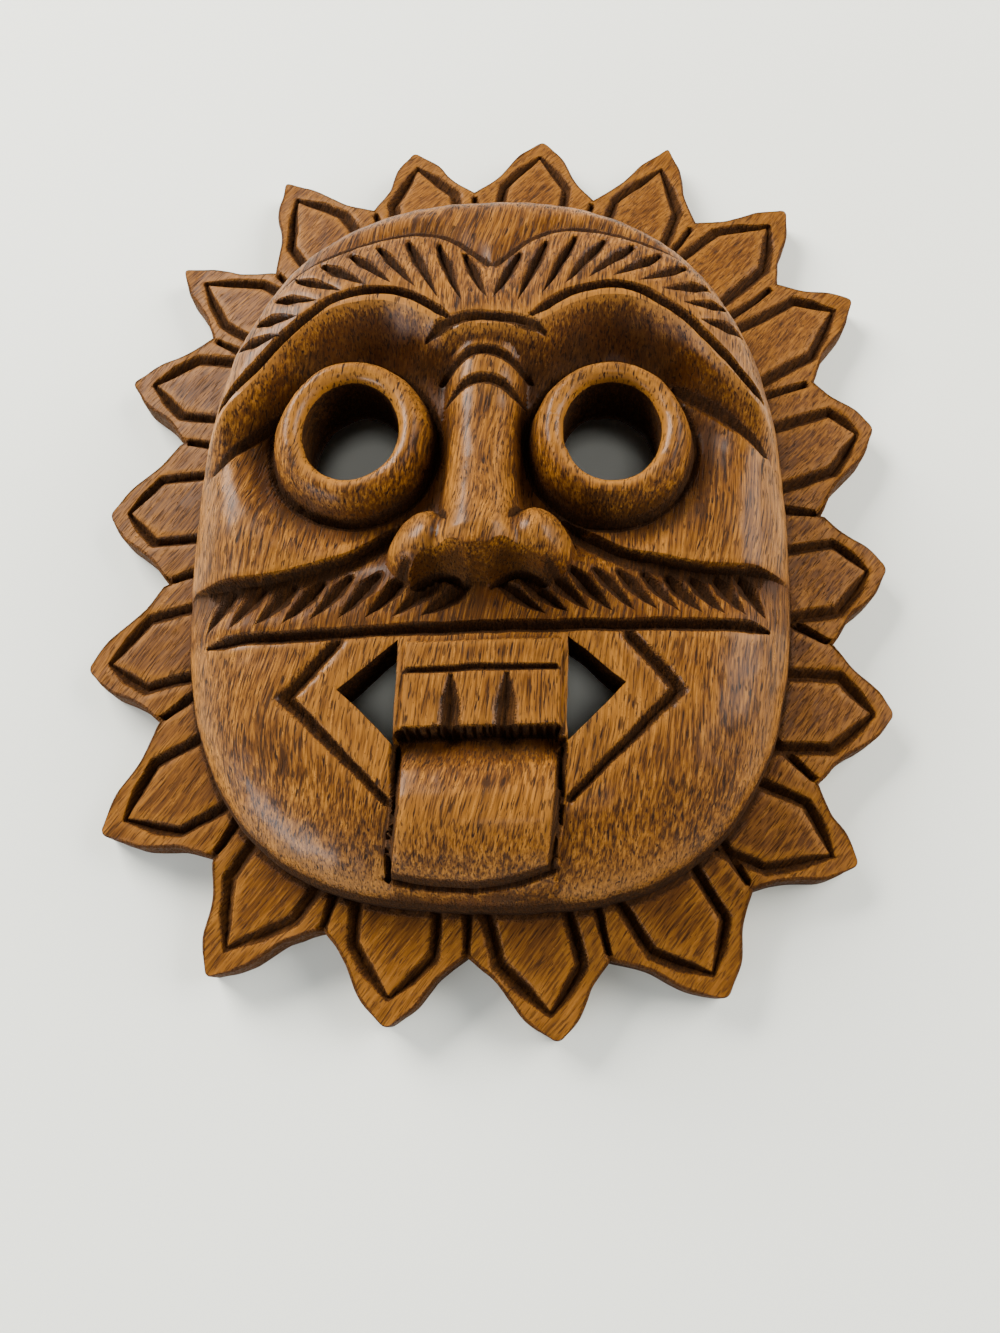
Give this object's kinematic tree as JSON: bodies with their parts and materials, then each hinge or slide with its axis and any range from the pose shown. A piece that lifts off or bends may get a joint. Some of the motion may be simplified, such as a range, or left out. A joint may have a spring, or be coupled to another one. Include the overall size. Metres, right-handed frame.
{
  "type": "carved wooden sun mask",
  "caption": "Hollow carved wooden mask: a grinning face with brows, moustache, bared teeth and a long tongue inside a ring of pointed sun rays.",
  "frame": {"origin": "under the centre of the mask's box, on the plane of its flat back rim", "axes": "+Z out of the face, away from the back rim; +Y toward the forehead; +X to the right in the picture"},
  "size_m": [0.2366, 0.299, 0.0587],
  "materials": {
    "waxed_wood": "dark-stained open-pored hardwood, rubbed through to golden brown on the high places, semi-gloss wax"
  },
  "bodies": {
    "root": {"sun_mask": "waxed_wood"}
  },
  "joints": []
}
